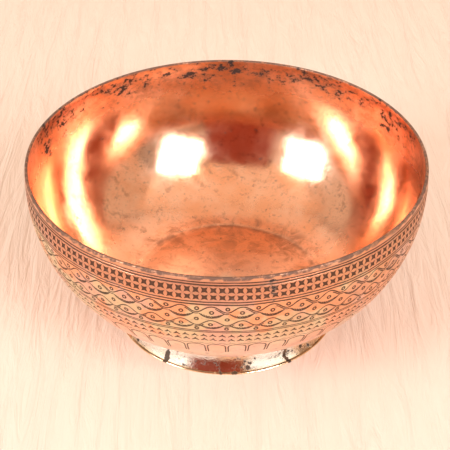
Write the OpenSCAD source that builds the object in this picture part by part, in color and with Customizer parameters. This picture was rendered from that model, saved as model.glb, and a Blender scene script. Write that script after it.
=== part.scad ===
// Footed copper bowl.
// The shell is raised from one sheet disc and its rim is thickened with the hammer.
// The foot is one strip, bent to a ring, its ends joined by a toothed brazed seam,
// and its top edge is turned in as a flange that is soldered under the bowl.
// Millimetres, +Z up, origin on the table under the middle of the bowl.

/* [Bowl] */
// Outer diameter at the top of the wall
rim_d = 280; // [230:5:340]
// Height from the table to the top of the rim
bowl_h = 132.5; // [108:0.5:162]
// Thickness of the raised wall
wall = 1.2; // [1:0.1:1.8]
// Thickness at the rim
rim_wall = 2.2; // [1.8:0.1:3]
// Height of the stretch over which the wall thickens up to the rim
rim_band = 9; // [5:0.5:14]
// Slope of the outside where it leaves the foot, in degrees
seat_slope = 11.3; // [6:0.1:16]
// Slope of the outside where the bottom curve runs into the side curve, in degrees
turn_slope = 43.4; // [38:0.1:50]
// Slope of the outside at the rim, in degrees: above 90 the mouth draws in
rim_slope = 95.6; // [91:0.1:98]

/* [Foot] */
// Width of the flange under the bowl; its inner edge leaves a crease in the floor
flange_w = 9; // [6:0.5:14]
// How far the middle of the floor stands above its crease
floor_rise = 1.2; // [0.4:0.1:2.5]
// Outer diameter at the neck, under the bowl
neck_d = 150; // [144:1:156]
// Height of the bowl's underside at the neck
neck_h = 21.5; // [17:0.5:26]
// Outer diameter of the lip that the foot stands on
foot_d = 167; // [160:1:184]
// Thickness of the strip that the foot is bent from
strip = 1.2; // [1:0.1:1.6]
// How far the lip is turned out
lip_w = 1.8; // [1.2:0.1:3]
// How far the side of the foot bows in from a straight flare
flare = 1; // [0:0.1:2]
// Outside radius of the bend between the foot's side and its flange
neck_bend = 2; // [1.8:0.1:3]

/* [Joints] */
// Thickness of the solder between the flange and the bowl
solder_film = 0.3; // [0.2:0.05:0.5]
// Reach of the solder fillets beyond the flange's two edges
fillet = 2; // [1:0.1:3]
// Direction of the foot's seam, in degrees from +X
seam_angle = -58; // [-180:1:180]
// Width of the braze in the seam
seam_w = 0.8; // [0.5:0.1:1.2]
// Height of one tooth of the seam
tooth_h = 5; // [3:0.5:8]
// Depth of the seam's teeth
tooth_depth = 3; // [1:0.5:5]

/* [Hidden] */
$fn = 96;

copper = [0.80, 0.50, 0.36];
worn_tin = [0.70, 0.62, 0.56];
braze = [0.30, 0.22, 0.17];
solder = [0.55, 0.52, 0.49];

rim_r = rim_d / 2;
neck_r = neck_d / 2;
foot_r = foot_d / 2;
bore_r = neck_r - flange_w;
lip_r = foot_r - lip_w;
floor_steps = 6;
bottom_steps = 10;
side_steps = 16;
mouth_steps = 4;
round_steps = 4;
bend_steps = 4;
foot_steps = 8;

// The side arc ends where the rim's half-round begins.
side_top = bowl_h - rim_wall / 2 * (1 + cos(rim_slope));

// Two arcs, tangent where they meet, carry the outside from the neck to the rim.
// Their radii follow from the width and the height that they have to cover.
span_r = rim_r - neck_r;
span_z = side_top - neck_h;
bottom_dr = sin(turn_slope) - sin(seat_slope);
bottom_dz = cos(seat_slope) - cos(turn_slope);
side_dr = sin(rim_slope) - sin(turn_slope);
side_dz = cos(turn_slope) - cos(rim_slope);
span_det = bottom_dr * side_dz - side_dr * bottom_dz;
bottom_arc = (span_r * side_dz - side_dr * span_z) / span_det;
side_arc = (bottom_dr * span_z - span_r * bottom_dz) / span_det;
bottom_centre = [neck_r, neck_h] - bottom_arc * outward(seat_slope);
side_centre = [rim_r, side_top] - side_arc * outward(rim_slope);

function outward(slope) = [sin(slope), -cos(slope)];
function steps(a, b, n) = [for (i = [0:n]) a + (b - a) * i / n];
function reversed(list) = [for (i = [len(list) - 1:-1:0]) list[i]];
function ease(t) = t * t * (3 - 2 * t);

// Height of the bowl's underside over the flange, beyond the neck, and inside the flange
function seat_z(r) = neck_h - (neck_r - r) * tan(seat_slope);
function belly_z(r) = bottom_centre.y - sqrt(pow(bottom_arc, 2) - pow(r - bottom_centre.x, 2));
function floor_z(r) = seat_z(bore_r) + floor_rise * (1 - pow(r / bore_r, 2));

// Wall thickness at a height: the rim is thicker
function wall_at(z) =
    wall + (rim_wall - wall) * ease(max(0, min(1, (z - side_top + rim_band) / rim_band)));

// [slope, outside point] all the way up the outside
function outside() = concat(
    [for (a = steps(seat_slope, turn_slope, bottom_steps))
        [a, bottom_centre + bottom_arc * outward(a)]],
    [for (a = steps(turn_slope, 90, side_steps)) if (a > turn_slope)
        [a, side_centre + side_arc * outward(a)]],
    [for (a = steps(90, rim_slope, mouth_steps)) if (a > 90)
        [a, side_centre + side_arc * outward(a)]]);

function inside() = [for (p = outside()) p[1] - wall_at(p[1].y) * outward(p[0])];

// The rim is rounded over; 180 is its top
function rim_round() =
    let (centre = [rim_r, side_top] - rim_wall / 2 * outward(rim_slope))
    [for (a = concat(steps(rim_slope, 180, round_steps), steps(180, rim_slope + 180, round_steps)))
        if (a > rim_slope && a < rim_slope + 180) centre + rim_wall / 2 * outward(a)];

module shell_section() {
    under_floor = [for (r = steps(0, bore_r, floor_steps)) [r, floor_z(r)]];
    crease_r = bore_r - wall * tan(seat_slope / 2);
    upper_floor = [for (r = steps(0, crease_r, floor_steps))
        [r, floor_z(r * bore_r / crease_r) + wall]];
    polygon(concat(
        under_floor,
        [for (p = outside()) p[1]],
        rim_round(),
        reversed(inside()),
        reversed(upper_floor)));
}

// Outside of the foot's wall, from under the bend (t = 0) to the lip (t = 1)
neck_top = seat_z(neck_r) - solder_film;
function foot_side(t) = [
    neck_r + (lip_r - neck_r) * t - flare * 4 * t * (1 - t),
    neck_top - neck_bend + (strip - neck_top + neck_bend) * t];

function bend_point(t) =
    let (on_flange = [neck_r - neck_bend, seat_z(neck_r - neck_bend) - solder_film],
         corner = [neck_r, neck_top],
         on_side = foot_side(0))
    pow(1 - t, 2) * on_flange + 2 * t * (1 - t) * corner + t * t * on_side;

module foot_section() {
    side = [for (t = steps(0, 1, foot_steps)) foot_side(t)];
    inner_corner = neck_r - strip;
    polygon(concat(
        [[bore_r, seat_z(bore_r) - solder_film]],
        [for (t = steps(0, 1, bend_steps)) if (t < 1) bend_point(t)],
        side,
        [for (a = steps(180, 0, round_steps))
            [foot_r - strip / 2, strip / 2] + strip / 2 * outward(a)],
        [[lip_r - strip, 0]],
        reversed([for (p = side) p - [strip, 0]]),
        [[inner_corner, seat_z(inner_corner) - solder_film - strip],
         [bore_r, seat_z(bore_r) - solder_film - strip]]));
}

// Solder: a film over the flange that ends in a fillet at its neck and at its bore.
// The polygon runs inside the walls that the fillets lie against, and they are cut off it.
module solder_section() {
    edge = 0.25;
    flange_mid = solder_film + strip / 2;
    outer_r = neck_r + fillet;
    side_end = foot_side(fillet / 2 / (neck_top - neck_bend - strip));
    difference() {
        polygon([
            [bore_r - fillet, floor_z(bore_r - fillet) + wall / 2],
            [bore_r, floor_z(bore_r) + wall / 2],
            [neck_r, neck_h + wall / 2],
            [outer_r, belly_z(outer_r) + wall / 2],
            [outer_r, belly_z(outer_r) - edge],
            [side_end.x + edge + fillet / 5, neck_top - fillet / 2],
            side_end + [edge, 0],
            side_end - [strip / 2, 0],
            foot_side(0) - [strip / 2, 0],
            [neck_r - strip * 0.6, neck_top - strip * 0.7],
            [neck_r - neck_bend, seat_z(neck_r - neck_bend) - flange_mid],
            [bore_r + strip / 2, seat_z(bore_r) - flange_mid],
            [bore_r + strip / 2, seat_z(bore_r) - solder_film - strip * 0.8],
            [bore_r - edge, seat_z(bore_r) - solder_film - strip * 0.8],
            [bore_r - fillet * 0.4, seat_z(bore_r) - solder_film - strip * 0.2],
            [bore_r - fillet, floor_z(bore_r - fillet) - edge]]);
        shell_section();
        foot_section();
    }
}

// The seam: a toothed slot across the strip, cut straight through the ring
module seam_slot() {
    last = ceil((neck_h + tooth_h) / tooth_h);
    teeth = [for (i = [-1:last]) [(i % 2 == 0 ? 1 : -1) * tooth_depth / 2, i * tooth_h]];
    reach = foot_r - bore_r + 2 * tooth_h;
    rotate([0, 0, seam_angle])
        translate([bore_r - tooth_h, 0, 0])
            rotate([90, 0, 90])
                linear_extrude(height = reach)
                    polygon(concat(
                        [for (p = teeth) p - [seam_w / 2, 0]],
                        reversed([for (p = teeth) p + [seam_w / 2, 0]])));
}

module bowl_shell() {
    color(copper) rotate_extrude() shell_section();
}

module foot_ring() {
    color(worn_tin)
        difference() {
            rotate_extrude() foot_section();
            seam_slot();
        }
}

module foot_seam() {
    color(braze)
        intersection() {
            rotate_extrude() foot_section();
            seam_slot();
        }
}

module foot_solder() {
    color(solder) rotate_extrude() solder_section();
}

bowl_shell();
foot_ring();
foot_seam();
foot_solder();
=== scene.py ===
"""A raised copper bowl with a cut and punched band round its outside, standing on a soldered foot ring."""

import math

import bmesh
import bpy
import numpy as np
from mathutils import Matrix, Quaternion, Vector, geometry


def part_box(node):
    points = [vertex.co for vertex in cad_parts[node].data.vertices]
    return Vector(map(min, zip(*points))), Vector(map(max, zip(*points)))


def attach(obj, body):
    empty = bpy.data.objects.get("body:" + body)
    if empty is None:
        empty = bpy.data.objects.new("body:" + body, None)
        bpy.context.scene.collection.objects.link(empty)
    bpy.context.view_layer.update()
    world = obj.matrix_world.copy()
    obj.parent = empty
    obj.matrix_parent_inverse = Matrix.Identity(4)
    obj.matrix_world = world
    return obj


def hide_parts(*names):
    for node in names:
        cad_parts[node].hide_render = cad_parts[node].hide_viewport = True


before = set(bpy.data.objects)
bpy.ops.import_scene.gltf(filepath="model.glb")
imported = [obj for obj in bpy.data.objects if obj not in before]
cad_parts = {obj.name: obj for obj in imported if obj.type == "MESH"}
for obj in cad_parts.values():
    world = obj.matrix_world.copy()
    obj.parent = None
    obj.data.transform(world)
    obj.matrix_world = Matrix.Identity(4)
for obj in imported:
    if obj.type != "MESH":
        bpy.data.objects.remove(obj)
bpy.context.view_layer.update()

# ---------------------------------------------------------------- camera
# A long lens on a stand in front of the bowl, looking down into its mouth.
# It stands 0.84 m from the bowl's middle and looks down at about 36 degrees.
MM = 0.001
CAMERA_ELEVATION = math.radians(35.86)
CAMERA_DISTANCE = 840 * MM
CAMERA_AIM = Vector((-1.1 * MM, 0, 70.7 * MM))


def in_scene(name, data):
    """A new object in the scene, made of the given data."""
    thing = bpy.data.objects.new(name, data)
    bpy.context.scene.collection.objects.link(thing)
    return thing


camera_data = bpy.data.cameras.new("camera")
camera_data.sensor_width = 36
camera_data.lens = 92.1
camera_data.clip_start = 0.05
camera_data.clip_end = 60
camera = in_scene("camera", camera_data)
camera_back = Vector((0, -math.cos(CAMERA_ELEVATION), math.sin(CAMERA_ELEVATION)))
camera.location = CAMERA_AIM + CAMERA_DISTANCE * camera_back
camera.rotation_euler = (-camera_back).to_track_quat("-Z", "Y").to_euler()
bpy.context.scene.camera = camera

# ---------------------------------------------------------------- bowl_shell
# The bowl itself: one round of sheet copper, hammered up over a stake into a belly and a thickened mouth.
# Its outside is cut with a graver and struck with punches in bands, and dark patina sits in every cut.
# Each band is drawn flat as one repeat, carried round by Geometry Nodes, and the bands are sewn together.
shell_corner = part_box("bowl_shell")[1]
SKIN = 0.04 * MM  # how far the surface keeps inside the solid's own
WELD = 0.004 * MM  # points closer than this are one point
TOUCHING = 1e-6  # metres
FAR = 1e9  # more than any length or angle here
BELLY_R = shell_corner.x - SKIN
RIM_Z = shell_corner.z - SKIN
WALL = 1.2 * MM
RIM_WALL = 2.2 * MM
RIM_BAND = 9 * MM  # how far down the wall the mouth's thickening runs
NECK_R = 75 * MM
NECK_Z = 21.5 * MM
BORE_R = 66 * MM
FLOOR_RISE = 1.2 * MM
SIDE_ARC = 114.906 * MM  # the radius of the side's arc, and below it of the bottom's
BOTTOM_ARC = 60.253 * MM
RIM_SLOPE = math.radians(95.628)  # how far the skin's outward way is turned up from straight down
TURN_SLOPE = math.radians(43.406)
SEAT_SLOPE = math.radians(11.28)


def outward(slope):
    """The way out of the skin, in radius and height, where it has this slope."""
    return np.array([math.sin(slope), -math.cos(slope)])


# The section is two arcs, one for the side and one for the bottom, tangent where they meet.
side_top = RIM_Z - RIM_WALL / 2 * (1 + math.cos(RIM_SLOPE))
side_centre = np.array([BELLY_R - SIDE_ARC, side_top + SIDE_ARC * math.cos(RIM_SLOPE)])
bottom_centre = side_centre + (SIDE_ARC - BOTTOM_ARC) * outward(TURN_SLOPE)


def seat_z(radius):
    """The height of the shallow cone that sits on the foot."""
    return NECK_Z - (NECK_R - radius) * math.tan(SEAT_SLOPE)


def floor_z(radius):
    """The height of the floor's underside within the foot's bore, raised a little in the middle."""
    return seat_z(BORE_R) + FLOOR_RISE * (1 - (radius / BORE_R) ** 2)


def arcs_down(steps):
    """Pairs of slope and outside point, from the rim down to the neck."""
    side = [(a, side_centre + SIDE_ARC * outward(a)) for a in np.linspace(RIM_SLOPE, TURN_SLOPE, steps)]
    low_slopes = np.linspace(TURN_SLOPE, SEAT_SLOPE, steps // 3)
    low = [(a, bottom_centre + BOTTOM_ARC * outward(a)) for a in low_slopes]
    return side + low[1:]


def wall_at(z):
    """The wall's thickness at a height: even, then growing smoothly into the mouth's edge."""
    t = max(0.0, min(1.0, (z - side_top + RIM_BAND) / RIM_BAND))
    return WALL + (RIM_WALL - WALL) * t * t * (3 - 2 * t)


ARC_STEPS = 90
outside_points = [p for a, p in arcs_down(ARC_STEPS)]
neck_length = sum(math.dist(p, q) for p, q in zip(outside_points, outside_points[1:]))
outside_points += [(r, seat_z(r)) for r in np.linspace(NECK_R, BORE_R, 4)]
outside_points += [(r, floor_z(r)) for r in np.linspace(BORE_R, 0, 14)[1:]]

rim_centre = outside_points[0] - RIM_WALL / 2 * outward(RIM_SLOPE)
rim_slopes = np.linspace(RIM_SLOPE, RIM_SLOPE + math.pi, 17)
inside_points = [rim_centre + RIM_WALL / 2 * outward(a) for a in rim_slopes]
round_length = math.pi * RIM_WALL / 2
inside_points += [p - wall_at(p[1]) * outward(a) for a, p in arcs_down(ARC_STEPS)[1:]]
crease_r = BORE_R - WALL * math.tan(SEAT_SLOPE / 2)  # where the floor meets the seat, on the inside
crease_index = len(inside_points)
inside_points += [(r, floor_z(r * BORE_R / crease_r) + WALL) for r in np.linspace(crease_r, 0, 16)]


def section_line(name, points, closed=False):
    """A curve in the plane of radius and height, for the bands to follow, and its length."""
    kept = [points[0]]
    for p in points[1:]:
        if math.dist(p, kept[-1]) > TOUCHING:
            kept.append(p)
    curve = bpy.data.curves.new(name, "CURVE")
    curve.dimensions = "3D"
    spline = curve.splines.new("POLY")
    spline.points.add(len(kept) - 1)
    for point, (r, z) in zip(spline.points, kept):
        point.co = (r, 0, z, 1)
    spline.use_cyclic_u = closed
    length = sum(math.dist(p, q) for p, q in zip(kept, kept[1:] + kept[:1] * closed))
    return in_scene(name, curve), length


def node(tree, kind, given=None, **settings):
    """A node with its settings. given has what its inputs take, by name or place: a value, or another
    node's output."""
    made = tree.nodes.new(kind)
    for name, value in settings.items():
        setattr(made, name, value)
    for socket, value in (given or {}).items():
        if isinstance(value, bpy.types.NodeSocket):
            tree.links.new(value, made.inputs[socket])
        else:
            made.inputs[socket].default_value = value
    return made


def calc(tree, operation, *terms, clamp=False):
    terms = dict(enumerate(terms))
    return node(tree, "ShaderNodeMath", terms, operation=operation, use_clamp=clamp).outputs[0]


def times(tree, *terms):
    """The product of any number of values and outputs."""
    product = terms[0]
    for term in terms[1:]:
        product = calc(tree, "MULTIPLY", product, term)
    return product


def joined(tree, x, y, z):
    return node(tree, "ShaderNodeCombineXYZ", {"X": x, "Y": y, "Z": z}).outputs[0]


def split(tree, vector):
    """The X, Y and Z of a vector."""
    return node(tree, "ShaderNodeSeparateXYZ", {0: vector}).outputs


BAND_R = 140.0  # millimetres from the axis, to turn counts and angles into widths


def wrapping_tree():
    """Nodes that repeat a flat piece in a row, roll the row round the axis and lay it on a section line.
    The piece's X is its share of the repeat, its Y the way along the line and its Z the height off it."""
    tree = bpy.data.node_groups.new("wrap_round", "GeometryNodeTree")
    face = tree.interface
    face.new_socket("Geometry", in_out="INPUT", socket_type="NodeSocketGeometry")
    kinds = {
        "Section Line": "NodeSocketObject",
        "Repeats": "NodeSocketInt",
        "Side": "NodeSocketFloat",
        "Wander": "NodeSocketFloat",
        "Wander Size": "NodeSocketFloat",
        "Hammer": "NodeSocketFloat",
        "Hammer Size": "NodeSocketFloat",
        "Calm Edge": "NodeSocketFloat",
        "Run Length": "NodeSocketFloat",
        "Seed": "NodeSocketFloat",
        "Material": "NodeSocketMaterial",
    }
    names = {}
    for name, kind in kinds.items():
        names[name] = face.new_socket(name, in_out="INPUT", socket_type=kind).identifier
    face.new_socket("Geometry", in_out="OUTPUT", socket_type="NodeSocketGeometry")
    given = node(tree, "NodeGroupInput").outputs

    row_inputs = {"Count": given["Repeats"], "Offset": (1, 0, 0)}
    row = node(tree, "GeometryNodeMeshLine", row_inputs, mode="OFFSET")
    copied = {"Points": row.outputs["Mesh"], "Instance": given["Geometry"]}
    copies = node(tree, "GeometryNodeInstanceOnPoints", copied)
    real = node(tree, "GeometryNodeRealizeInstances", {0: copies.outputs["Instances"]})

    flat = split(tree, node(tree, "GeometryNodeInputPosition").outputs[0])
    turn = calc(tree, "DIVIDE", times(tree, flat["X"], math.tau), given["Repeats"])
    along = flat["Y"]
    to_end = calc(tree, "MINIMUM", along, calc(tree, "SUBTRACT", given["Run Length"], along))
    calm = calc(tree, "DIVIDE", to_end, given["Calm Edge"], clamp=True)

    def ripple(size, amount, shift, detail):
        """A smooth random field round the bowl, at rest along the calm edge."""
        spot = joined(
            tree,
            times(tree, calc(tree, "COSINE", turn), BAND_R * MM),
            times(tree, calc(tree, "SINE", turn), BAND_R * MM),
            calc(tree, "ADD", along, calc(tree, "ADD", given["Seed"], shift)),
        )
        shrunk = {0: spot, "Scale": calc(tree, "DIVIDE", 1.0, size)}
        scaled = node(tree, "ShaderNodeVectorMath", shrunk, operation="SCALE")
        drawn = {"Vector": scaled.outputs[0], "Scale": 1.0, "Detail": detail}
        field = node(tree, "ShaderNodeTexNoise", drawn, noise_dimensions="3D")
        centred = calc(tree, "MULTIPLY_ADD", field.outputs[0], 2.0, -1.0)
        return times(tree, centred, amount, calm)

    sideways = ripple(given["Wander Size"], given["Wander"], 3.0, 3.0)
    turn_moved = calc(tree, "ADD", turn, calc(tree, "DIVIDE", sideways, BAND_R * MM))
    along_moved = calc(tree, "ADD", along, ripple(given["Wander Size"], given["Wander"], 7.0, 3.0))
    dents = ripple(given["Hammer Size"], given["Hammer"], 11.0, 1.0)
    dents = calc(tree, "SUBTRACT", dents, times(tree, given["Hammer"], calm))
    height = calc(tree, "ADD", flat["Z"], dents)

    line_input = {"Object": given["Section Line"]}
    line = node(tree, "GeometryNodeObjectInfo", line_input, transform_space="ORIGINAL")
    sampled = {"Curves": line.outputs["Geometry"], "Length": along_moved}
    place = node(tree, "GeometryNodeSampleCurve", sampled, mode="LENGTH", use_all_curves=True)
    on_line = split(tree, place.outputs["Position"])
    way = split(tree, place.outputs["Tangent"])
    lift = times(tree, height, given["Side"])
    radius = calc(tree, "SUBTRACT", on_line["X"], times(tree, way["Z"], lift))
    level = calc(tree, "ADD", on_line["Z"], times(tree, way["X"], lift))
    around = joined(
        tree,
        times(tree, radius, calc(tree, "SINE", turn_moved)),
        times(tree, radius, calc(tree, "COSINE", turn_moved), -1.0),
        calc(tree, "MAXIMUM", level, 0.0),
    )
    moved = node(tree, "GeometryNodeSetPosition", {"Geometry": real.outputs[0], "Position": around})
    closed = node(tree, "GeometryNodeMergeByDistance", {"Geometry": moved.outputs[0], "Distance": WELD})
    coat = {"Geometry": closed.outputs[0], "Material": given["Material"]}
    painted = node(tree, "GeometryNodeSetMaterial", coat)
    node(tree, "NodeGroupOutput", {0: painted.outputs[0]})
    return tree, names


wrap_round, wrap_inputs = wrapping_tree()


def wrapped(flat_mesh, **inputs):
    """The plain mesh that the wrapping nodes make of one flat repeat."""
    maker = in_scene(flat_mesh.name, flat_mesh)
    modifier = maker.modifiers.new("wrap", "NODES")
    modifier.node_group = wrap_round
    for name, value in inputs.items():
        modifier[wrap_inputs[name.replace("_", " ")]] = value
    graph = bpy.context.evaluated_depsgraph_get()
    mesh = bpy.data.meshes.new_from_object(maker.evaluated_get(graph))
    maker.modifiers.remove(modifier)
    bpy.data.objects.remove(maker)
    return mesh


def flat_piece(name, points, heights, cut, faces, width, inside=0.0):
    """A flat repeat: points are (across, along) in millimetres, cut is how deep in a cut each one lies."""
    mesh = bpy.data.meshes.new(name)
    mesh.from_pydata([(x / width, y * MM, h * MM) for (x, y), h in zip(points, heights)], [], faces)
    for kind, values in (("cut", cut), ("inside", [inside] * len(points))):
        layer = mesh.attributes.new(kind, "FLOAT", "POINT")
        layer.data.foreach_set("value", np.array(values, np.float32))
    return mesh


def gap_from(spots, a, b):
    """How far each spot is from the straight piece between a and b."""
    t = np.clip(((spots - a) @ (b - a)) / max(1e-12, (b - a) @ (b - a)), 0, 1)
    return np.linalg.norm(spots - a - t[:, None] * (b - a), axis=1)


CUT_BRIM = 0.02  # spots at less than this share of a cut's depth stay level
STAMP_BRIM = 0.3  # a stamp drops at once to this share of its depth, then slopes down over its bevel


def cut_sheet(name, width, top, bottom, strokes, stamps=(), land=3.0, sides=(2, 2)):
    """One flat repeat of sheet with V cuts along strokes (points, half width, depth) and with sunk stamps
    (outline, depth, bevel). Whatever crosses one side of the repeat comes in again at the other."""
    points = []
    edges = []

    def run(line, closed=False):
        first = len(points)
        points.extend(line)
        edges.extend((first + i, first + i + 1) for i in range(len(line) - 1))
        if closed:
            edges.append((first + len(line) - 1, first))

    def in_reach(line, margin):
        xs = [p[0] for p in line]
        return max(xs) > -margin and min(xs) < width + margin

    laid = []
    sunk = []
    for shift in (-width, 0.0, width):
        for line, half, depth in strokes:
            moved = np.array(line, float) + (shift, 0)
            if in_reach(moved, 2 * half):
                laid.append((moved, half, depth))
        for outline, depth, bevel in stamps:
            moved = np.array(outline, float) + (shift, 0)
            if in_reach(moved, 0.1):
                sunk.append((moved, depth, bevel))
    for line, half, _ in laid:
        ring = math.dist(line[0], line[-1]) < TOUCHING
        step = np.gradient(line, axis=0)
        if ring:
            step[0] = step[-1] = line[1] - line[-2]
        across = np.stack([-step[:, 1], step[:, 0]], 1)
        across *= half / np.linalg.norm(across, axis=1)[:, None]
        if ring:
            for part in (line, line + across, line - across):
                run([tuple(p) for p in part[:-1]], closed=True)
        else:
            start = line[0] + (line[0] - line[1]) / math.dist(line[0], line[1]) * half
            end = line[-1] + (line[-1] - line[-2]) / math.dist(line[-1], line[-2]) * half
            rim = [start, *(line + across), end, *(line - across)[::-1]]
            run([tuple(p) for p in rim], closed=True)
            run([tuple(start), *[tuple(p) for p in line], tuple(end)])
    for outline, _, bevel in sunk:
        run([tuple(p) for p in outline], closed=True)
        middle = outline.mean(0)
        away = outline - middle
        size = np.linalg.norm(away, axis=1)[:, None]
        run([tuple(p) for p in middle + away * (1 - bevel / size)], closed=True)
        points.append(tuple(middle))

    for x in (0.0, width):
        run([(x, top), (x, bottom)])
    for y, count in ((top, sides[0]), (bottom, sides[1])):
        run([(width * i / count, y) for i in range(count + 1)])

    segments = [(a, b, half, depth) for line, half, depth in laid for a, b in zip(line, line[1:])]

    def height_at(spots):
        """Height and cut share of each spot, from its distance to every stroke and stamp."""
        spots = np.array(spots, float)
        height = np.zeros(len(spots))
        share = np.zeros(len(spots))
        for a, b, half, depth in segments:
            near = np.clip(1 - gap_from(spots, a, b) / half, 0, 1)
            near[near < CUT_BRIM] = 0
            height = np.minimum(height, -depth * near)
            share = np.maximum(share, near)
        for outline, depth, bevel in sunk:
            # A spot is within the outline if a level line from it crosses the outline an odd number of times
            odd = np.zeros(len(spots), bool)
            gap = np.full(len(spots), FAR)
            for a, b in zip(outline, np.roll(outline, -1, axis=0)):
                gap = np.minimum(gap, gap_from(spots, a, b))
                if a[1] != b[1]:
                    crosses = (a[1] > spots[:, 1]) != (b[1] > spots[:, 1])
                    meets = (b[0] - a[0]) * (spots[:, 1] - a[1]) / (b[1] - a[1]) + a[0]
                    odd ^= crosses & (spots[:, 0] < meets)
            sink = np.where(odd & (gap > 0.01), np.clip(gap / bevel, STAMP_BRIM, 1), 0)
            height = np.minimum(height, -depth * sink)
            share = np.maximum(share, np.where(sink > 0, 1.0, 0.0))
        return height, share

    # Plain land between the cuts gets its own points, so that its faces stay even
    rows = max(1, round((bottom - top) / land))
    columns = max(1, round(width / land))
    spread = [
        (width * (i + 0.5 * (j % 2)) / columns, top + (bottom - top) * j / rows)
        for j in range(1, rows)
        for i in range(columns + 1)
    ]
    spread = [p for p in spread if 0.2 * land < p[0] < width - 0.2 * land]
    if spread:
        spots = np.array(spread)
        clear = np.full(len(spots), FAR)
        for a, b in edges:
            clear = np.minimum(clear, gap_from(spots, np.array(points[a]), np.array(points[b])))
        points.extend(p for p, c in zip(spread, clear) if c > 0.3 * land)

    found, _, faces, _, _, _ = geometry.delaunay_2d_cdt([Vector(p) for p in points], edges, [], 0, 1e-4)
    kept = []
    for face in faces:
        x = sum(found[i].x for i in face) / len(face)
        y = sum(found[i].y for i in face) / len(face)
        if 0 < x < width and top < y < bottom:
            kept.append(face)
    used = sorted({i for face in kept for i in face})
    order = {old: new for new, old in enumerate(used)}
    spots = [(found[i].x, found[i].y) for i in used]
    height, share = height_at(spots)
    return flat_piece(name, spots, height, share, [[order[i] for i in face] for face in kept], width)


def ladder(name, stops, columns, inside=0.0):
    """One flat repeat with no cuts: rows at the given places along, columns across."""
    points = [(c, y) for y in stops for c in range(columns + 1)]
    across = columns + 1
    faces = [
        (r * across + c, r * across + c + 1, (r + 1) * across + c + 1, (r + 1) * across + c)
        for r in range(len(stops) - 1)
        for c in range(columns)
    ]
    return flat_piece(name, points, [0] * len(points), [0] * len(points), faces, columns, inside)


def level_line(width, y, half, depth, pieces=2):
    """A cut that runs straight round the bowl."""
    return [(width * i / pieces, y) for i in range(-pieces, 2 * pieces + 1)], half, depth


def ring_punch(x, y, radius=1.2, corners=9):
    """The mark of a small hollow punch."""
    turns = [math.tau * (i + 0.5) / corners for i in range(corners + 1)]
    return [(x + radius * math.cos(t), y + radius * math.sin(t)) for t in turns], 0.66, 0.36


def pitch(repeats):
    """The width of one repeat, in millimetres."""
    return math.tau * BAND_R / repeats


# Upper band: two level cuts under the mouth, then two rows of four-pointed stars with petals between them
STAR_REPEATS = 162


def star(x, y, wide, tall, waist):
    """Four points on the diagonals and four sides that bow in."""
    corners = [(-1, -1), (1, -1), (1, 1), (-1, 1)]
    outline = []
    for (ax, ay), (bx, by) in zip(corners, corners[1:] + corners[:1]):
        for t in (0.0, 0.15, 0.5, 0.85):
            bow = 4 * t * (1 - t) * waist
            px = (ax + (bx - ax) * t) * wide
            py = (ay + (by - ay) * t) * tall
            if ax == bx:
                px *= 1 - bow
            else:
                py *= 1 - bow
            outline.append((x + px, y + py))
    return outline


star_width = pitch(STAR_REPEATS)
star_sheet = cut_sheet(
    "star_repeat",
    star_width,
    0.0,
    17.0,
    [
        level_line(star_width, 2.9, 0.55, 0.26),
        level_line(star_width, 4.9, 0.75, 0.38),
    ],
    [
        (star(star_width / 2, 8.6, 2.69, 2.9, 0.48), 0.36, 0.14),
        (star(star_width / 2, 14.2, 2.69, 2.68, 0.48), 0.36, 0.14),
    ],
    land=2.7,
)

# Middle band: eyes between waving lines, with ring punches in and between them and hatching under the lids
WAVE_REPEATS = 46
WAVE_SHARPNESS = 1.1
wave_width = pitch(WAVE_REPEATS)


def wave(y, swing, start, end, steps):
    """A run of the waving line: highest over the eye's middle, lowest between the eyes."""
    line = []
    for t in np.linspace(start, end, steps + 1):
        fall = 0.5 - 0.5 * math.cos(math.tau * (t - 0.5))
        line.append((t * wave_width, y + swing * fall**WAVE_SHARPNESS))
    return line


def lid(y, drop, start, end, steps):
    """The lower lid of an eye, hanging between two points."""
    middle = (start + end) / 2
    reach = (end - start) / 2
    return [
        (t * wave_width, y + drop * (1 - ((t - middle) / reach) ** 2) ** 0.85)
        for t in np.linspace(start + 0.012, end - 0.012, steps + 1)
    ]


def hatching(line, teeth, length, lean):
    """Close nicks of the graver above a line, cut to and fro without lifting it."""
    line = np.array(line)
    reach = np.concatenate([[0], np.cumsum(np.linalg.norm(np.diff(line, axis=0), axis=1))])
    run = []
    for i in range(2 * teeth + 1):
        at = reach[-1] * (0.06 + 0.88 * i / (2 * teeth))
        rise = (i % 2) * length * math.sin(math.pi * i / (2 * teeth)) ** 0.5
        x, y = (np.interp(at, reach, line[:, axis]) for axis in (0, 1))
        run.append((x + lean * rise, y - 0.3 - rise))
    return run, 0.24, 0.22


upper_lid = lid(27.6, 4.5, 0.09, 0.91, 12)
lower_lid = lid(39.2, 4.2, 0.10, 0.90, 12)
wave_strokes = [
    level_line(wave_width, 18.0, 0.6, 0.32, 6),
    level_line(wave_width, 20.1, 0.7, 0.36, 6),
    (wave(21.8, 4.9, -1.0, 2.0, 42), 0.6, 0.34),
    (wave(23.2, 4.9, 0.62, 1.06, 7), 0.5, 0.3),
    (upper_lid, 0.52, 0.32),
    (wave(34.5, 5.2, -1.0, 2.0, 39), 0.58, 0.32),
    (lower_lid, 0.5, 0.3),
    (wave(36.2, 4.9, -0.06, 0.24, 4), 0.46, 0.28),
    level_line(wave_width, 46.2, 0.6, 0.34, 6),
    level_line(wave_width, 47.8, 0.58, 0.3, 6),
    ring_punch(0.5 * wave_width, 27.0),
    ring_punch(0.02 * wave_width, 23.6),
    ring_punch(0.01 * wave_width, 33.4),
    ring_punch(0.47 * wave_width, 39.0),
    ring_punch(0.99 * wave_width, 43.4),
    hatching(upper_lid, 9, 1.8, 0.25),
    hatching(lower_lid, 9, 1.6, 0.25),
]
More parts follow.
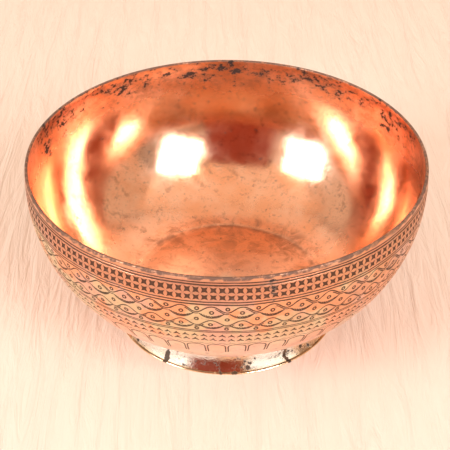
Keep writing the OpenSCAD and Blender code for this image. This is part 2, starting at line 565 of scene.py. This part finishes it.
wave_sheet = cut_sheet("wave_repeat", wave_width, 17.5, 48.6, wave_strokes, land=3.6, sides=(7, 7))

# Lower band: two rows of half-struck stars, each like a small rafter
STAMP_REPEATS = 144
stamp_width = pitch(STAMP_REPEATS)


def rafter(x, y, wide, tall):
    """A peak with two legs, open between them."""
    right = [(0.34, -0.2), (1.1, 0.72), (0.95, 1)]
    left = [(-px, py) for px, py in right[::-1]]
    return [(x + px * wide, y + py * tall) for px, py in [(0, -1), *right, (0, 0.5), *left]]


stamp_sheet = cut_sheet(
    "stamp_repeat",
    stamp_width,
    49.0,
    61.0,
    [],
    [
        (rafter(stamp_width / 2, 51.7, 2.3, 1.9), 0.3, 0.14),
        (rafter(stamp_width / 2, 57.1, 2.4, 2.0), 0.32, 0.14),
    ],
    land=3.0,
)

# Skirt: tall round-headed panels under a faint garland
ARCH_REPEATS = 60
ARCH_RISE = 4.2
arch_width = pitch(ARCH_REPEATS)


def arch(inset, head, foot, steps):
    """Up one side of the panel, over its head and down the other."""
    reach = 0.5 - inset
    spring = head + ARCH_RISE
    over = [
        ((0.5 - reach * math.cos(t)) * arch_width, spring - ARCH_RISE * math.sin(t) ** 0.8)
        for t in [math.pi * i / steps for i in range(steps + 1)]
    ]
    left = [(inset * arch_width, foot - (foot - spring) * i / 3) for i in range(3)]
    right = [((1 - inset) * arch_width, spring + (foot - spring) * (i + 1) / 3) for i in range(3)]
    return left + over + right


garland = [(arch_width * t, 62.6 + 1.3 * math.cos(math.tau * t) ** 2) for t in np.linspace(-1, 2, 37)]
arch_sheet = cut_sheet(
    "arch_repeat",
    arch_width,
    61.4,
    82.0,
    [
        (arch(0.065, 65.0, 79.5, 10), 0.6, 0.3),
        (garland, 0.3, 0.14),
    ],
    land=3.0,
    sides=(5, 5),
)


def bare_finish(name):
    """A new material, its empty node tree and the place on the piece that its patterns read."""
    material = bpy.data.materials.new(name)
    material.use_nodes = True
    tree = material.node_tree
    tree.nodes.clear()
    return material, tree, node(tree, "ShaderNodeTexCoord").outputs["Object"]


def noise(tree, coords, scale, detail, rough, distort=0.0):
    drawn = {"Vector": coords, "Scale": scale, "Detail": detail, "Roughness": rough, "Distortion": distort}
    return node(tree, "ShaderNodeTexNoise", drawn, noise_dimensions="3D").outputs[0]


def between(tree, value, low, high):
    """0 below low, 1 above high, smooth between."""
    span = {0: value, 1: low, 2: high, 3: 0.0, 4: 1.0}
    return node(tree, "ShaderNodeMapRange", span, interpolation_type="SMOOTHSTEP").outputs[0]


def blend(tree, share, first, second):
    """The first colour where the share is 0, the second where it is 1."""
    return node(tree, "ShaderNodeMix", {0: share, 6: first, 7: second}, data_type="RGBA").outputs[2]


def coated(tree, tone, colour, *shares):
    """The tone with a colour laid over it, as strongly as the product of the shares."""
    return blend(tree, times(tree, *shares), tone, colour)


def stretched(tree, coords, scale):
    return node(tree, "ShaderNodeMapping", {"Vector": coords, "Scale": scale}).outputs[0]


def attribute(tree, name):
    return node(tree, "ShaderNodeAttribute", attribute_name=name).outputs["Fac"]


def surface(tree, tone, rough, metallic=0.0, specular=0.5, bumps=None, strength=0.0, depth=1.0):
    """The shader that ends a material. Each value is the same all over, or another node's output."""
    given = {"Base Color": tone, "Roughness": rough, "Metallic": metallic, "Specular IOR Level": specular}
    if bumps is not None:
        bump = node(tree, "ShaderNodeBump", {"Strength": strength, "Distance": depth, "Height": bumps})
        given["Normal"] = bump.outputs[0]
    shader = node(tree, "ShaderNodeBsdfPrincipled", given)
    node(tree, "ShaderNodeOutputMaterial", {"Surface": shader.outputs[0]})


COPPER_PEACH = (0.94, 0.60, 0.43, 1)
COPPER_ORANGE = (0.88, 0.43, 0.24, 1)
COPPER_TAN = (0.73, 0.58, 0.37, 1)
COPPER_BROWN = (0.42, 0.23, 0.15, 1)
COPPER_ROSE = (0.78, 0.47, 0.36, 1)
COPPER_TARNISH = (0.68, 0.31, 0.155, 1)
COPPER_RIGHT_RED = (0.72, 0.35, 0.19, 1)
COPPER_PALE = (0.92, 0.70, 0.58, 1)
COPPER_SHADE_BROWN = (0.62, 0.30, 0.19, 1)
PATINA = (0.050, 0.026, 0.016, 1)
OXIDE = (0.022, 0.019, 0.019, 1)
GREY_FILM = (0.26, 0.19, 0.155, 1)
EDGE_PATINA = (0.11, 0.07, 0.055, 1)

copper, tree, coords = bare_finish("copper_finish")
place = split(tree, coords)
height = place["Z"]
squares = calc(tree, "ADD", calc(tree, "POWER", place["X"], 2.0), calc(tree, "POWER", place["Y"], 2.0))
from_axis = calc(tree, "SQRT", squares)
cut = attribute(tree, "cut")
inside = attribute(tree, "inside")
stain = attribute(tree, "stain")
broad = noise(tree, coords, 16, 4, 0.6)
middling = noise(tree, coords, 60, 4, 0.6)
fine = noise(tree, coords, 420, 3, 0.6)

# Bare metal: peach and orange inside. Outside it is tan and rose with orange patches, with painted shade in
# brown under the mouth, pale low on the belly and red in patches over the right side.
inner_tone = blend(tree, between(tree, broad, 0.38, 0.66), COPPER_PEACH, COPPER_ORANGE)
drift = noise(tree, coords, 27, 4, 0.6)
patches = noise(tree, coords, 34, 3, 0.6)
outer_tone = blend(tree, between(tree, drift, 0.44, 0.56), COPPER_TAN, COPPER_ROSE)
outer_tone = coated(tree, outer_tone, COPPER_ORANGE, between(tree, patches, 0.50, 0.56))
# Painted shade: a band just under the mouth's edge is darkened brown.
painted_shade_under_mouth = between(tree, height, 108 * MM, 119 * MM)
outer_tone = coated(tree, outer_tone, COPPER_SHADE_BROWN, painted_shade_under_mouth, 0.85)
belly = between(tree, height, 84 * MM, 56 * MM)
outer_tone = coated(tree, outer_tone, COPPER_PALE, belly, 0.55)
# Deeper red in patches over the right side, where X is positive.
one_side = between(tree, place["X"], 0.0, 110 * MM)
outer_tone = coated(tree, outer_tone, COPPER_RIGHT_RED, one_side, between(tree, middling, 0.36, 0.54), 0.8)
tone = blend(tree, inside, outer_tone, inner_tone)

# Tarnish: a haze in clouds below the mouth inside, fine brown mottling all over and grime outside
mouth_haze = times(tree, between(tree, height, 88 * MM, 122 * MM), inside)
tone = coated(tree, tone, COPPER_TARNISH, mouth_haze, between(tree, patches, 0.30, 0.66))
clouds = between(tree, noise(tree, stretched(tree, coords, (1, 1, 2.0)), 62, 5, 0.7), 0.46, 0.66)
tone = coated(tree, tone, COPPER_BROWN, mouth_haze, clouds, 0.65)
tone = coated(tree, tone, COPPER_BROWN, between(tree, fine, 0.56, 0.74), 0.32)
outside = calc(tree, "SUBTRACT", 1.0, inside)
tone = coated(tree, tone, COPPER_BROWN, between(tree, middling, 0.55, 0.78), outside, 0.35)

# The mouth's edge is brown, with dark patina in patches
edge_low = calc(tree, "MULTIPLY_ADD", inside, 1.6 * MM, 129.6 * MM)
edge_high = calc(tree, "MULTIPLY_ADD", inside, 0.9 * MM, 130.8 * MM)
edge = between(tree, height, edge_low, edge_high)
tone = coated(tree, tone, COPPER_BROWN, edge, 0.75)
edge = times(tree, edge, between(tree, calc(tree, "ADD", middling, fine), 0.80, 1.06))
tone = coated(tree, tone, EDGE_PATINA, edge, 0.85)

# Patina lies in every cut, a little raggedly
ragged_cut = calc(tree, "ADD", cut, times(tree, calc(tree, "SUBTRACT", fine, 0.5), 0.6))
in_cut = between(tree, ragged_cut, 0.10, 0.36)
tone = coated(tree, tone, PATINA, in_cut, 0.93)

# A grey film, mostly round the stains. Inside, a scuffed floor, painted shade along the crease over the foot
# and dark smudges
pits = noise(tree, stretched(tree, coords, (1, 1, 1.5)), 190, 4, 0.68)
film = between(tree, calc(tree, "MULTIPLY_ADD", stain, 0.46, pits), 0.57, 0.74)
tone = coated(tree, tone, GREY_FILM, film, 0.6)
scuffs = between(tree, noise(tree, coords, 75, 6, 0.72, 0.6), 0.42, 0.66)
on_floor = times(tree, between(tree, height, 25.0 * MM, 22.2 * MM), inside)
off_centre = calc(tree, "MULTIPLY_ADD", between(tree, from_axis, 30 * MM, 62 * MM), 0.5, 0.5)
tone = coated(tree, tone, COPPER_BROWN, on_floor, scuffs, off_centre, 0.8)
crease_at = calc(tree, "MULTIPLY_ADD", calc(tree, "SUBTRACT", broad, 0.5), 12 * MM, from_axis)
crease_dent_and_shade = times(tree, between(tree, crease_at, 65.0 * MM, 68.5 * MM), inside)
crease_dent_and_shade = times(tree, crease_dent_and_shade, between(tree, crease_at, 71.5 * MM, 68.5 * MM))
# The crease's brown ring is painted shade; the same mask also dents the crease through the bumps.
tone = coated(tree, tone, COPPER_BROWN, crease_dent_and_shade, between(tree, middling, 0.40, 0.60))
smudge = between(tree, noise(tree, coords, 95, 5, 0.72), 0.54, 0.70)
tone = coated(tree, tone, COPPER_BROWN, smudge, inside, 0.55)

# Black oxide spots, thickest where the stains below are laid
spots = between(tree, calc(tree, "MULTIPLY_ADD", stain, 0.44, pits), 0.70, 0.73)
tone = coated(tree, tone, OXIDE, spots, 0.92)
dull = calc(tree, "MAXIMUM", times(tree, in_cut, 0.9), calc(tree, "MAXIMUM", spots, edge))

# Polished inside, rougher outside, low on the wall, in the haze and wherever it is dull
rough = calc(tree, "MULTIPLY_ADD", between(tree, middling, 0.3, 0.7), 0.08, 0.11)
low_wall = between(tree, height, 45 * MM, 24 * MM)
for share, more in ((outside, 0.17), (low_wall, 0.16), (mouth_haze, 0.24), (dull, 0.28)):
    rough = calc(tree, "ADD", rough, times(tree, share, more))
brushed = noise(tree, stretched(tree, coords, (1, 1, 0.12)), 800, 2, 0.6)
bumps = calc(tree, "ADD", times(tree, fine, 0.6), times(tree, brushed, 0.3))
bumps = calc(tree, "ADD", bumps, times(tree, crease_dent_and_shade, -2.5))
metal = calc(tree, "MULTIPLY_ADD", dull, -0.85, 1.0)
surface(tree, tone, rough, metal, specular=0.12, bumps=bumps, strength=0.25, depth=0.15 * MM)

outside_line, outside_length = section_line("outside_line", outside_points)
inside_line, inside_length = section_line("inside_line", inside_points)
to_floor = sum(math.dist(p, q) for p, q in zip(inside_points[:crease_index], inside_points[1:]))
shell_feel = dict(
    Wander=1.1 * MM,
    Wander_Size=24 * MM,
    Hammer=0.05 * MM,
    Hammer_Size=11 * MM,
    Calm_Edge=5 * MM,
    Run_Length=1.0,
    Seed=1.0,
    Material=copper,
)
outer_feel = dict(shell_feel, Section_Line=outside_line, Side=1.0)
inner_feel = dict(shell_feel, Section_Line=inside_line, Side=-1.0)
inner_feel.update(Wander=0.0, Hammer=0.07 * MM, Hammer_Size=15 * MM)
PLAIN_REPEATS = 60
INNER_REPEATS = 54  # of six columns each, so that the rim has as many points as the star band has

low_stops = [82.4] + list(np.linspace(85, neck_length / MM, 18))
seat_stops = list(np.linspace(neck_length / MM, outside_length / MM, 14))[1:-1]
rim_stops = list(np.linspace(0, round_length / MM, 9))
wall_stops = list(np.linspace(round_length / MM, to_floor / MM, 54))[1:]
floor_stops = list(np.linspace(to_floor / MM, inside_length / MM - 8, 16))[1:]
bands = [
    wrapped(star_sheet, Repeats=STAR_REPEATS, **outer_feel),
    wrapped(wave_sheet, Repeats=WAVE_REPEATS, **outer_feel),
    wrapped(stamp_sheet, Repeats=STAMP_REPEATS, **outer_feel),
    wrapped(arch_sheet, Repeats=ARCH_REPEATS, **outer_feel),
    wrapped(ladder("low_repeat", low_stops + seat_stops, 4), Repeats=PLAIN_REPEATS, **outer_feel),
    wrapped(
        ladder("inner_repeat", rim_stops + wall_stops + floor_stops, 6, 1.0),
        Repeats=INNER_REPEATS,
        **inner_feel,
    ),
]


def turn_of(vertex):
    """The angle round the axis, from the front."""
    return math.atan2(vertex.co.x, -vertex.co.y)


def open_loops(verts):
    """The open edges of one band as lists of vertices in order round the axis, highest loop first."""
    edges = {e for v in verts for e in v.link_edges if e.is_boundary}
    ends = {v for e in edges for v in e.verts}
    loops = []
    while ends:
        group = [ends.pop()]
        front = list(group)
        while front:
            for e in front.pop().link_edges:
                if e in edges:
                    for v in e.verts:
                        if v in ends:
                            ends.remove(v)
                            group.append(v)
                            front.append(v)
        group.sort(key=turn_of)
        loops.append(group)
    loops.sort(key=lambda group: -sum(v.co.z for v in group) / len(group))
    return loops


def zip_loops(bm, first, second):
    """A strip of triangles between two loops that may have different numbers of vertices."""
    i = j = 0
    while i < len(first) or j < len(second):
        a, b = first[i % len(first)], second[j % len(second)]
        next_a, next_b = first[(i + 1) % len(first)], second[(j + 1) % len(second)]
        way_a = turn_of(next_a) + math.tau * ((i + 1) // len(first)) if i < len(first) else FAR
        way_b = turn_of(next_b) + math.tau * ((j + 1) // len(second)) if j < len(second) else FAR
        if way_a < way_b:
            bm.faces.new((a, next_a, b))
            i += 1
        else:
            bm.faces.new((a, next_b, b))
            j += 1


def cap(bm, loop):
    """Closes a small loop with a fan to its middle."""
    middle = bm.verts.new(sum((v.co for v in loop), Vector()) / len(loop))
    for a, b in zip(loop, loop[1:] + loop[:1]):
        bm.faces.new((a, b, middle))


def sewn(name, bands, joins=(), caps=()):
    """One closed mesh out of bands. joins pairs (band, loop) with (band, loop); caps closes loops.
    Loops that lie on each other, point for point, are merged."""
    bm = bmesh.new()
    owned = []
    for mesh in bands:
        before = len(bm.verts)
        bm.from_mesh(mesh)
        bm.verts.ensure_lookup_table()
        owned.append(list(bm.verts[before:]))
    loops = [open_loops(verts) for verts in owned]
    for (band, which), (other, other_which) in joins:
        zip_loops(bm, loops[band][which], loops[other][other_which])
    for band, which in caps:
        cap(bm, loops[band][which])
    bmesh.ops.remove_doubles(bm, verts=bm.verts[:], dist=WELD)
    bmesh.ops.recalc_face_normals(bm, faces=bm.faces[:])
    bmesh.ops.triangulate(bm, faces=[f for f in bm.faces if len(f.verts) > 4])
    mesh = bpy.data.meshes.new(name)
    bm.to_mesh(mesh)
    bm.free()
    return mesh


shell_mesh = sewn(
    "bowl_shell_sheet",
    bands,
    [((0, 1), (1, 0)), ((1, 1), (2, 0)), ((2, 1), (3, 0)), ((3, 1), (4, 0))],
    [(4, 1), (5, 1)],
)


def stained(mesh, inner_stains, outer_stains):
    """Old stains on a piece, inside and out: each is its azimuth in degrees from the front, then its depth
    under the rim, its width and its length down the wall in millimetres, and how strong it is."""
    places = np.zeros(len(mesh.vertices) * 3, np.float32)
    mesh.vertices.foreach_get("co", places)
    places = places.reshape(-1, 3) / MM
    azimuth = np.degrees(np.arctan2(places[:, 0], -places[:, 1]))
    below = RIM_Z / MM - places[:, 2]
    inner = np.zeros(len(mesh.vertices), np.float32)
    mesh.attributes["inside"].data.foreach_get("value", inner)
    amount = np.zeros(len(mesh.vertices))
    for stains, share in ((inner_stains, inner), (outer_stains, 1 - inner)):
        for at, depth, width, length, strength in stains:
            gap = (azimuth - at + 180) % 360 - 180
            across = gap * math.pi / 180 * BAND_R / (width / 2)
            down = (below - depth) / (length / 2)
            amount = np.maximum(amount, share * strength * np.exp(-(across**2) - down**2))
    layer = mesh.attributes.new("stain", "FLOAT", "POINT")
    layer.data.foreach_set("value", amount.astype(np.float32))


# A run of stains round the far half of the mouth, and single ones over it
rim_stains = [
    (108 + 9 * i, 8 + 3 * math.sin(2.3 * i), 44, 24, 0.33 + 0.1 * math.sin(1.7 * i))
    for i in range(17)
]
rim_stains += [(-168, 12, 14, 6, 0.8), (-160, 10, 9, 4, 0.8), (176, 9, 10, 5, 0.75), (168, 12, 12, 4, 0.7)]
rim_stains += [(-108, 22, 22, 14, 0.62), (-121, 15, 30, 8, 0.6)]
rim_stains += [(120, 20, 18, 6, 0.7), (136, 14, 26, 5, 0.66)]
outer_stains = [(11.5, 9, 4, 17, 0.62), (-64, 6, 14, 8, 0.4), (52, 30, 22, 10, 0.3)]
outer_stains += [(140, 8, 16, 9, 0.5), (-150, 20, 20, 16, 0.35)]
stained(shell_mesh, rim_stains, outer_stains)


def placed(name, mesh, material, solid, sharp=25):
    """The finished piece, riding with the bowl in place of its plain solid. It shades smoothly over every
    bend of less than sharp degrees."""
    mesh.materials.clear()
    mesh.materials.append(material)
    mesh.polygons.foreach_set("use_smooth", [True] * len(mesh.polygons))
    mesh.set_sharp_from_angle(angle=math.radians(sharp))
    piece = in_scene(name, mesh)
    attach(piece, "root")
    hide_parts(solid)


placed("bowl_shell_raised", shell_mesh, copper, "bowl_shell")

# ---------------------------------------------------------------- foot_ring
# A strip of sheet, bent round and flared out to a lip that stands on the table. Its upper edge is turned
# in as a flange, for the solder. It was tinned, and the tin is worn grey and golden in turns.
FOOT_R = 83.5 * MM
STRIP = 1.2 * MM
LIP_R = FOOT_R - 1.8 * MM
FLARE = 1.0 * MM
NECK_BEND = 2.0 * MM
SOLDER_FILM = 0.3 * MM
neck_top = seat_z(NECK_R) - SOLDER_FILM


def foot_side(t):
    """The strip's outside, flaring from its bend at 0 to its lip at 1."""
    return np.array([
        NECK_R + (LIP_R - NECK_R) * t - FLARE * 4 * t * (1 - t),
        neck_top - NECK_BEND + (STRIP - neck_top + NECK_BEND) * t,
    ])


def bend_point(t):
    """The bend between the flange at 0 and the strip's side at 1."""
    on_flange = np.array([NECK_R - NECK_BEND, seat_z(NECK_R - NECK_BEND) - SOLDER_FILM])
    corner = np.array([NECK_R, neck_top])
    return (1 - t) ** 2 * on_flange + 2 * t * (1 - t) * corner + t * t * foot_side(0)


side_run = [foot_side(t) for t in np.linspace(0, 1, 13)]
lip_middle = np.array([FOOT_R - STRIP / 2 - SKIN, STRIP / 2])
inner_corner = NECK_R - STRIP
bore_top = seat_z(BORE_R) - SOLDER_FILM
foot_points = [(BORE_R, bore_top)]
foot_points += [bend_point(t) for t in np.linspace(0, 1, 5)[:-1]]
foot_points += side_run
foot_points += [lip_middle + STRIP / 2 * outward(a) for a in np.radians(np.linspace(150, 0, 6))]
foot_points += [(LIP_R - STRIP, 0.0)]
foot_points += [p - (STRIP, 0) for p in side_run[::-1][1:]]
foot_points += [(inner_corner, seat_z(inner_corner) - SOLDER_FILM - STRIP), (BORE_R, bore_top - STRIP)]
foot_line, foot_length = section_line("foot_line", foot_points, closed=True)


def line_stops(points, longest):
    """Places along a closed section line: every corner of it, and more where it runs straight."""
    stops = [0.0]
    for p, q in zip(points, points[1:] + points[:1]):
        gap = math.dist(p, q) / MM
        if gap > TOUCHING / MM:
            parts = max(1, math.ceil(gap / longest))
            stops += [stops[-1] + gap * (i + 1) / parts for i in range(parts)]
    return stops


TIN_BRIGHT = (0.86, 0.83, 0.78, 1)
TIN_GOLDEN = (0.74, 0.50, 0.33, 1)
TIN_DULL = (0.74, 0.66, 0.57, 1)
TIN_SPECKLE = (0.045, 0.03, 0.022, 1)
TIN_DROP = (0.045, 0.026, 0.016, 1)
LIP_GOLD = (0.92, 0.68, 0.38, 1)

tin, tree, coords = bare_finish("worn_tin_finish")
broad = noise(tree, coords, 22, 3, 0.5)
middling = noise(tree, coords, 124, 4, 0.65)
fine = noise(tree, coords, 700, 3, 0.6)
tone = blend(tree, between(tree, broad, 0.42, 0.62), TIN_BRIGHT, TIN_GOLDEN)
tone = coated(tree, tone, TIN_DULL, between(tree, middling, 0.50, 0.66))
speckle = between(tree, calc(tree, "ADD", times(tree, middling, 0.6), times(tree, fine, 0.5)), 0.61, 0.66)
tone = coated(tree, tone, TIN_SPECKLE, speckle, 0.97)
lip = between(tree, split(tree, coords)["Z"], 2.4 * MM, 1.0 * MM)
tone = coated(tree, tone, LIP_GOLD, lip, 0.7)
drops = calc(tree, "MULTIPLY_ADD", attribute(tree, "stain"), 0.5, times(tree, middling, 0.8))
drops = between(tree, drops, 0.62, 0.67)
tone = coated(tree, tone, TIN_DROP, drops, 0.93)
speckle = calc(tree, "MAXIMUM", speckle, drops)
rough = calc(tree, "MULTIPLY_ADD", speckle, 0.04, calc(tree, "MULTIPLY_ADD", middling, 0.14, 0.06))
metal = calc(tree, "MULTIPLY_ADD", speckle, -0.9, 1.0)
bumps = calc(tree, "ADD", middling, times(tree, fine, 0.8))
surface(tree, tone, rough, metal, specular=0.12, bumps=bumps, strength=0.45, depth=0.2 * MM)

foot_feel = dict(
    inner_feel,
    Section_Line=foot_line,
    Hammer=0.035 * MM,
    Hammer_Size=10 * MM,
    Calm_Edge=1 * MM,
    Run_Length=foot_length,
    Seed=5.0,
    Material=tin,
)
foot_stops = line_stops(foot_points, 2.0)
foot_stops[-1] = foot_length / MM  # the last row lies on the first one
foot_strip = wrapped(ladder("foot_repeat", foot_stops, 4), Repeats=PLAIN_REPEATS, **foot_feel)
foot_mesh = sewn("foot_ring_strip", [foot_strip])
# Single drops at the front, and a sprinkling all the way round
foot_spots = [(-32, 128, 8, 8, 1.3), (-22, 130, 5, 2.5, 1), (11, 129.3, 7, 4, 0.9), (-2.5, 131.4, 4, 2, 1)]
foot_spots += [(4, 131.4, 7, 2, 1), (42, 127, 9, 4, 1), (15, 124, 5, 3, 0.8)]
foot_spots += [
    (32 + 11 * i, 126 + 5 * math.sin(3.1 * i), 7, 6, 0.42 + 0.2 * math.sin(5.3 * i))
    for i in range(27)
]
stained(foot_mesh, [], foot_spots)
placed("foot_ring_strip", foot_mesh, tin, "foot_ring")

# ---------------------------------------------------------------- foot_seam
# The two ends of the foot's strip are cut into teeth, laid into each other and brazed.
# The braze has run a little over both faces and has gone dark.
SEAM_AZIMUTH = math.radians(32)
TOOTH_HEIGHT = 5.0  # the teeth, and the braze's width and run, are in millimetres
TOOTH_DEPTH = 3.0
BRAZE_WIDTH = 0.8
BRAZE_RUN = 0.5  # how far it has run over each edge, and how much further in places
BRAZE_PROUD = 0.16 * MM
BRAZE_SUNK = 0.4 * MM

section = np.array(foot_points + foot_points[:1], float)
reach = np.concatenate([[0], np.cumsum(np.linalg.norm(np.diff(section, axis=0), axis=1))]) / MM


def on_section(stop):
    """The radius and height of a place along the foot's section line."""
    return np.array([np.interp(stop, reach, section[:, axis]) for axis in (0, 1)])


# The bead's own section: how far off the strip's face, and to which side, each of its points lies
bead = ((BRAZE_PROUD, -1), (BRAZE_PROUD * 1.6, 0), (BRAZE_PROUD, 1), (-BRAZE_SUNK, 1), (-BRAZE_SUNK, -1))
seam_rings = []
for stop in line_stops(foot_points, 0.7)[:-1]:
    spot = on_section(stop)
    ahead, behind = (on_section((stop + step) % reach[-1]) for step in (0.3, -0.3))
    way = (ahead - behind) / np.linalg.norm(ahead - behind)
    out = np.array([way[1], -way[0]])
    tooth = 0.5 - abs((spot[1] / MM / TOOTH_HEIGHT + 1) % 2 - 1)
    ragged = 0.22 * math.sin(2.1 * stop) + 0.16 * math.sin(5.3 * stop + 1)
    half = BRAZE_WIDTH / 2 + BRAZE_RUN + BRAZE_RUN * math.sin(1.3 * stop) ** 2
    middle = tooth * TOOTH_DEPTH + ragged
    ring = []
    for off, side in bead:
        radius, level = spot + out * off
        turn = SEAM_AZIMUTH + (middle + side * half) * MM / NECK_R
        ring.append((radius * math.sin(turn), -radius * math.cos(turn), max(level, 0.0)))
    seam_rings.append(ring)
across = len(bead)
seam_faces = [
    (i * across + j, i * across + (j + 1) % across, k * across + (j + 1) % across, k * across + j)
    for i, k in zip(range(len(seam_rings)), [*range(1, len(seam_rings)), 0])
    for j in range(across)
]
seam_mesh = bpy.data.meshes.new("foot_seam_braze")
seam_mesh.from_pydata([p for ring in seam_rings for p in ring], [], seam_faces)
bm = bmesh.new()
bm.from_mesh(seam_mesh)
bmesh.ops.recalc_face_normals(bm, faces=bm.faces[:])
bm.to_mesh(seam_mesh)
bm.free()

BRAZE_DARK = (0.05, 0.03, 0.02, 1)
BRAZE_BROWN = (0.17, 0.10, 0.06, 1)

braze, tree, coords = bare_finish("dark_braze")
middling = noise(tree, coords, 300, 4, 0.65)
fine = noise(tree, coords, 1500, 3, 0.6)
tone = blend(tree, between(tree, middling, 0.42, 0.62), BRAZE_DARK, BRAZE_BROWN)
rough = calc(tree, "MULTIPLY_ADD", fine, 0.4, 0.3)
bumps = calc(tree, "ADD", middling, fine)
surface(tree, tone, rough, metallic=0.4, specular=0.2, bumps=bumps, strength=0.5, depth=0.15 * MM)
placed("foot_seam_braze", seam_mesh, braze, "foot_seam", sharp=50)

# ---------------------------------------------------------------- foot_solder
# Soft solder that was run in between the foot's flange and the bowl.
# It shows as a lumpy grey fillet round the neck and round the flange's bore.
FILLET = 2.0 * MM
SOLDER_EDGE = 0.25 * MM
belly_r = NECK_R + FILLET
belly_z = bottom_centre[1] - math.sqrt(BOTTOM_ARC**2 - (belly_r - bottom_centre[0]) ** 2)
side_end = foot_side(FILLET / 2 / (neck_top - NECK_BEND - STRIP))
fillet_middle = np.array([NECK_R + FILLET * 0.42, neck_top - FILLET * 0.12])
solder_points = [np.array([belly_r, belly_z]), fillet_middle, side_end + (SOLDER_EDGE / 2, 0), side_end]
solder_points += [foot_side(0)]
solder_points += [bend_point(t) for t in np.linspace(1, 0, 5)[1:]]
solder_points += [
    np.array([BORE_R, bore_top]),
    np.array([BORE_R, bore_top - STRIP * 0.8]),
    np.array([BORE_R - SOLDER_EDGE, bore_top - STRIP * 0.8]),
    np.array([BORE_R - FILLET * 0.4, bore_top - STRIP * 0.2]),
    np.array([BORE_R - FILLET, floor_z(BORE_R - FILLET)]),
    np.array([BORE_R, seat_z(BORE_R)]),
    np.array([NECK_R, NECK_Z]),
]
solder_line, solder_length = section_line("solder_line", solder_points, closed=True)
solder_stops = line_stops(solder_points, 1.2)
solder_stops[-1] = solder_length / MM  # as on the foot

SOLDER_DARK = (0.20, 0.17, 0.15, 1)
SOLDER_PALE = (0.55, 0.50, 0.45, 1)
SOLDER_PIT = (0.11, 0.085, 0.07, 1)

solder, tree, coords = bare_finish("grey_solder")
middling = noise(tree, coords, 120, 4, 0.6)
fine = noise(tree, coords, 900, 3, 0.6)
tone = blend(tree, between(tree, middling, 0.40, 0.60), SOLDER_DARK, SOLDER_PALE)
tone = coated(tree, tone, SOLDER_PIT, between(tree, fine, 0.52, 0.68), 0.6)
rough = calc(tree, "MULTIPLY_ADD", middling, 0.3, 0.22)
bumps = calc(tree, "MULTIPLY_ADD", fine, 0.4, middling)
surface(tree, tone, rough, metallic=0.85, bumps=bumps, strength=0.5, depth=0.2 * MM)

solder_feel = dict(
    inner_feel,
    Section_Line=solder_line,
    Hammer=0.07 * MM,
    Hammer_Size=5 * MM,
    Calm_Edge=0.3 * MM,
    Run_Length=solder_length,
    Seed=9.0,
    Material=solder,
)
solder_ring = wrapped(ladder("solder_repeat", solder_stops, 4), Repeats=PLAIN_REPEATS, **solder_feel)
solder_mesh = sewn("foot_solder_fillet", [solder_ring])
placed("foot_solder_fillet", solder_mesh, solder, "foot_solder", sharp=40)

# ---------------------------------------------------------------- stage
# A pale table, a soft light on each side of the camera and a dark card where the maker stands.
# The ceiling, the low walls and the room's sides are broad dim lamps, for the metal to mirror.
def board(name, corners, material):
    """A flat sheet for the stage, which is no part of the bowl."""
    mesh = bpy.data.meshes.new(name)
    mesh.from_pydata(corners, [], [(0, 1, 2, 3)])
    mesh.materials.append(material)
    made = in_scene(name, mesh)
    return made


cream, tree, coords = bare_finish("cream_table")
tone = blend(tree, noise(tree, coords, 9, 5, 0.6), (0.86, 0.72, 0.61, 1), (0.90, 0.76, 0.65, 1))
creases = noise(tree, stretched(tree, coords, (1, 0.12, 1)), 75, 5, 0.6, 1.0)
surface(tree, tone, rough=0.6, bumps=creases, strength=0.6, depth=6 * MM)
board("table_top", [(-9, -9, 0), (9, -9, 0), (9, 9, 0), (-9, 9, 0)], cream)

LAMP_AIM = Vector((0, 0, 0.09))  # metres, a little over the middle of the bowl


def on_sphere(azimuth, elevation, distance):
    """A place round the bowl: azimuth 0 is in front, towards the camera."""
    a, e = math.radians(azimuth), math.radians(elevation)
    way = Vector((math.sin(a) * math.cos(e), -math.cos(a) * math.cos(e), math.sin(e)))
    return way * distance + LAMP_AIM


def softbox(name, azimuth, elevation, distance, wide, tall, power, colour, roll=0):
    """A square lamp that faces the bowl: distance, width and height in metres, power in watts."""
    data = bpy.data.lights.new(name, "AREA")
    data.shape = "RECTANGLE"
    data.size = wide
    data.size_y = tall
    data.energy = power
    data.color = colour
    lamp = in_scene(name, data)
    lamp.location = on_sphere(azimuth, elevation, distance)
    facing = (LAMP_AIM - lamp.location).to_track_quat("-Z", "Y")
    lamp.rotation_euler = (facing @ Quaternion((0, 0, 1), math.radians(roll))).to_euler()
    lamp.visible_camera = False


LAMP_WHITE = (1.0, 0.96, 0.99)
WALL_WARM = (1.0, 0.90, 0.80)
ROOM_WARM = (1.0, 0.72, 0.52)
CEILING_WARM = (1.0, 0.80, 0.64)
softbox("softbox_right", 35, 33, 2.5, 1.02, 1.12, 46, LAMP_WHITE, roll=-30)
softbox("softbox_left", -57, 26, 2.5, 1.04, 1.04, 43, LAMP_WHITE, roll=20)
softbox("low_wall_right", 44, 7, 2.7, 2.6, 0.6, 5.5, WALL_WARM)
softbox("low_wall_left", -60, 7, 2.7, 2.6, 0.6, 6.5, WALL_WARM)
softbox("room_right", 88, 32, 2.8, 2.4, 1.6, 4, ROOM_WARM)
softbox("room_left", -88, 32, 2.8, 2.4, 1.6, 4, ROOM_WARM)
softbox("ceiling", 0, 72, 2.5, 4.8, 2.5, 23, CEILING_WARM)
softbox("ceiling_bounce", 180, 52, 2.5, 3.4, 2.6, 17, CEILING_WARM)

dark, tree, _ = bare_finish("dark_cloth")
surface(tree, tone=(0.34, 0.07, 0.04, 1), rough=0.9)
card_corners = [on_sphere(a, e, 1.6) for a, e in ((-34, -3), (14, -3), (14, 44), (-34, 44))]
card = board("dark_card", card_corners, dark)
card.visible_camera = False

world = bpy.data.worlds.new("room")
world.use_nodes = True
sky = world.node_tree.nodes["Background"]
sky.inputs["Color"].default_value = (1.0, 0.70, 0.50, 1)
sky.inputs["Strength"].default_value = 0.44
bpy.context.scene.world = world
bpy.context.scene.view_settings.view_transform = "Standard"

# The section lines have done their work
for line in (outside_line, inside_line, foot_line, solder_line):
    bpy.data.objects.remove(line)
